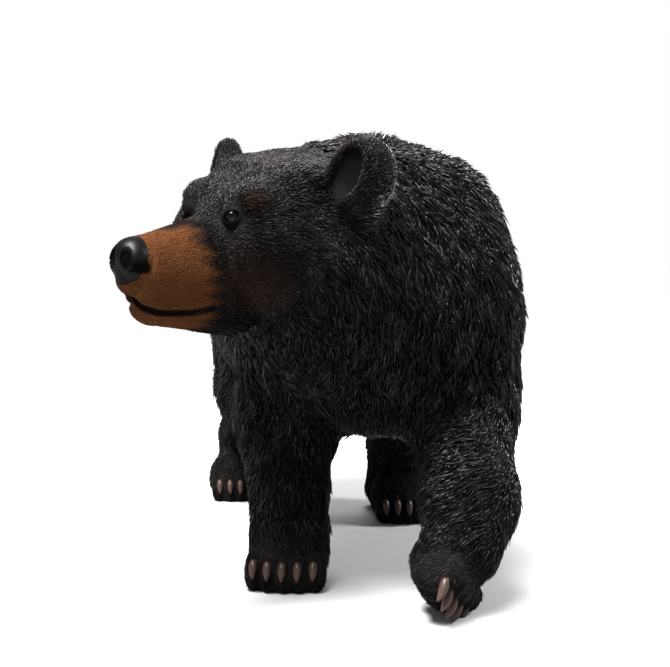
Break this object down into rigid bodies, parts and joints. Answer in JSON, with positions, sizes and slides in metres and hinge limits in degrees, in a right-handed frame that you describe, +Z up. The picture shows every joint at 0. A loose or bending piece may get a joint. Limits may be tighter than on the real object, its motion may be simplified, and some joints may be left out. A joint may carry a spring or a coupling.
{
  "type": "bear statue",
  "caption": "Life-size walking black bear of painted cast resin, head turned to its right, one forepaw lifted, with set-in glossy eyes.",
  "frame": {"origin": "centre of the bounding box, on the floor that the soles stand on", "axes": "+Z up, -Y the way the bear walks, +X the bear's left"},
  "size_m": [0.848, 1.548, 0.8949],
  "materials": {
    "painted_resin": "satin",
    "glossy_eye": "polished"
  },
  "bodies": {
    "root": {"bear": "painted_resin", "left_eye": "glossy_eye", "right_eye": "glossy_eye"}
  },
  "joints": []
}
